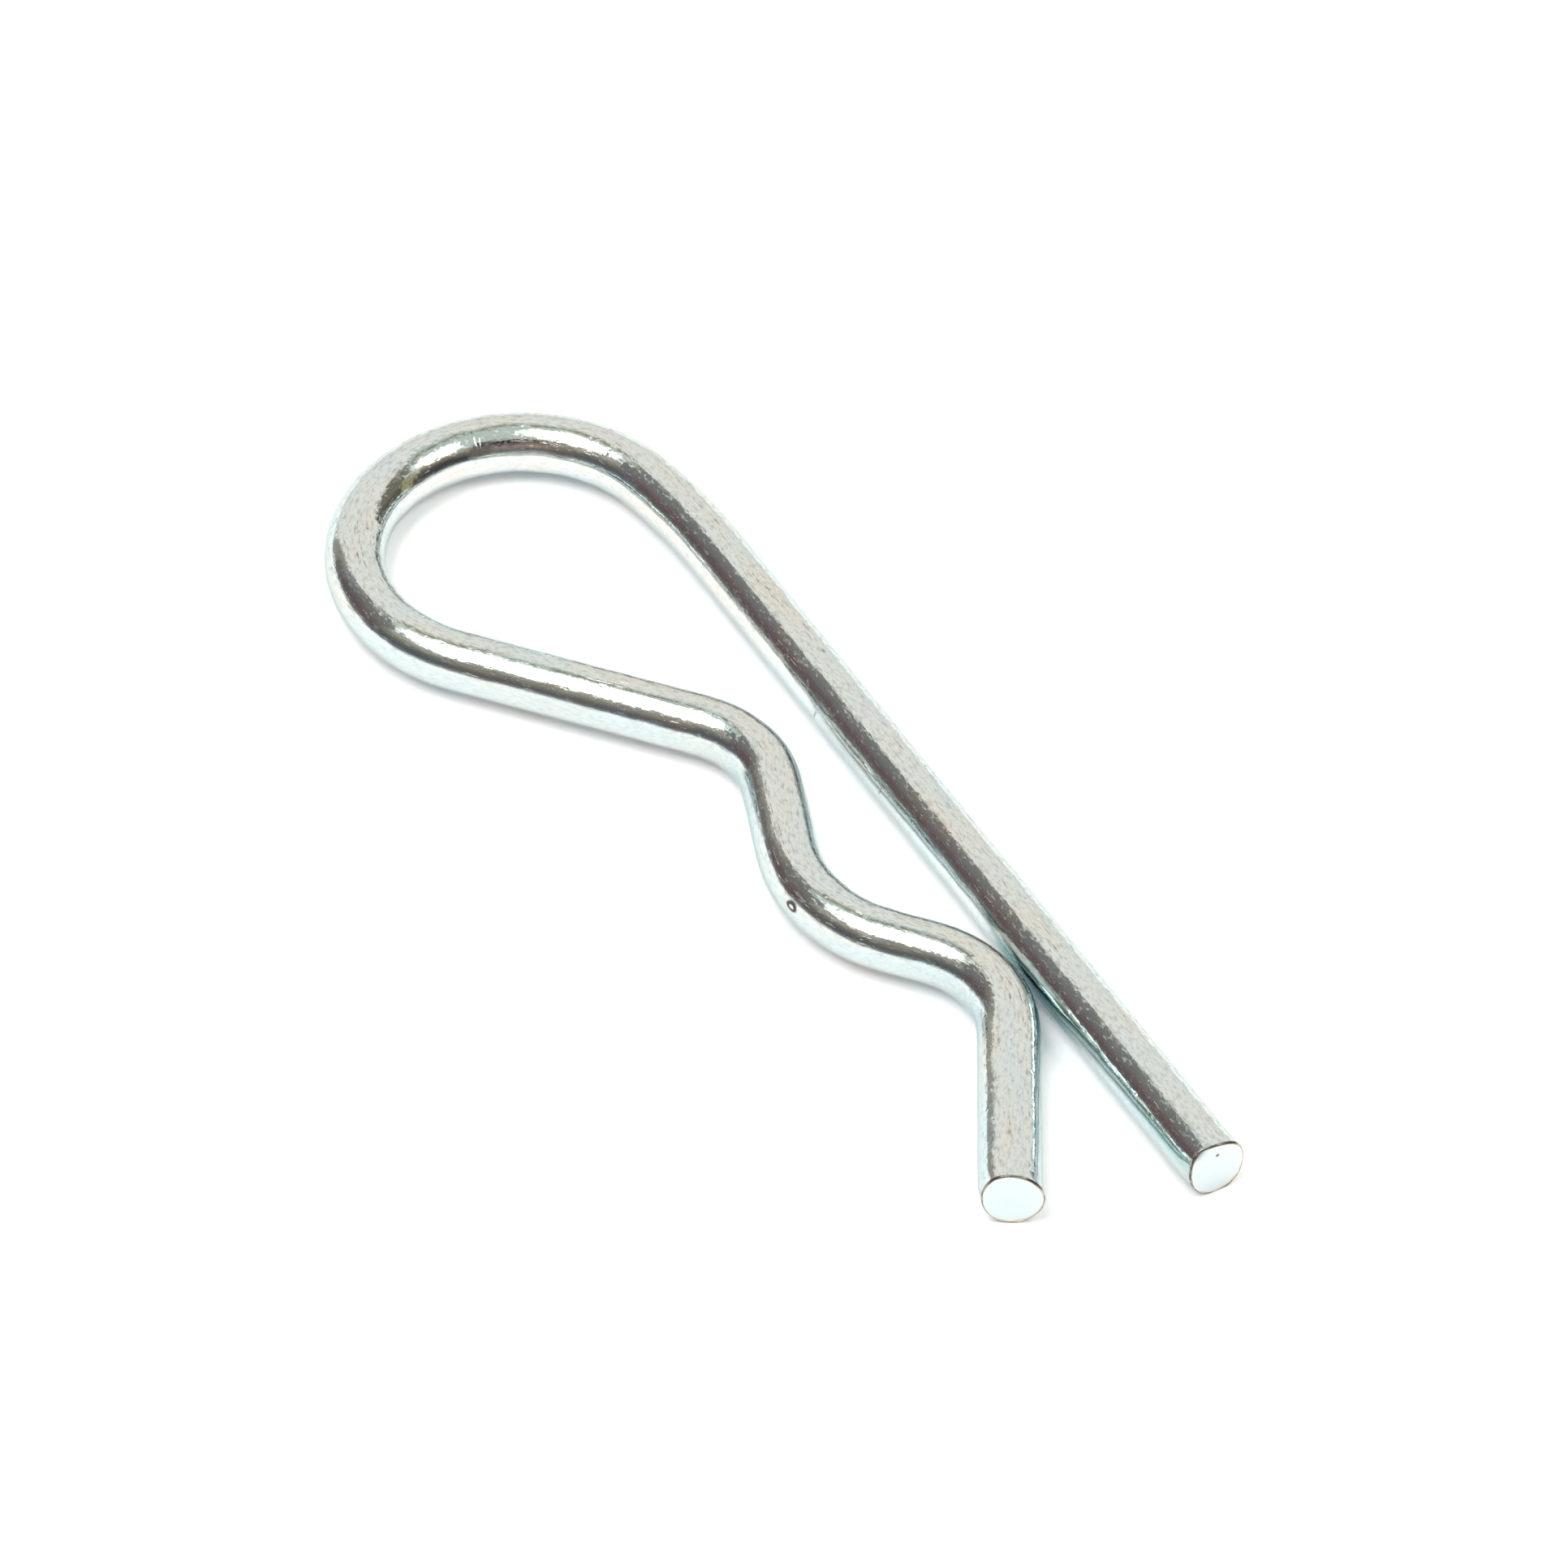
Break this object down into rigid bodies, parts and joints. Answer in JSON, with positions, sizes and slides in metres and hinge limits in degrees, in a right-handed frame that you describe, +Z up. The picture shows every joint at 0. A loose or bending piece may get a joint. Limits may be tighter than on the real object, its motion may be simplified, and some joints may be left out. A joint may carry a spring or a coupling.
{
  "type": "hairpin cotter pin",
  "caption": "Round spring wire bent flat into a hairpin: a straight leg for a shaft's cross hole, a round bow, and a waved leg that seats round the shaft and springs shut.",
  "frame": {"origin": "bottom centre of the bounding box, on the surface that the pin lies on", "axes": "+X along the straight leg from the bow to the tip, +Y from the waved leg to the straight leg, +Z up, across the wire"},
  "size_m": [0.061, 0.0194, 0.003],
  "materials": {
    "zinc_plated_wire": "bright zinc plate with a clear chromate film on cold-drawn spring-steel wire"
  },
  "bodies": {
    "root": {"bent_wire": "zinc_plated_wire"}
  },
  "joints": []
}
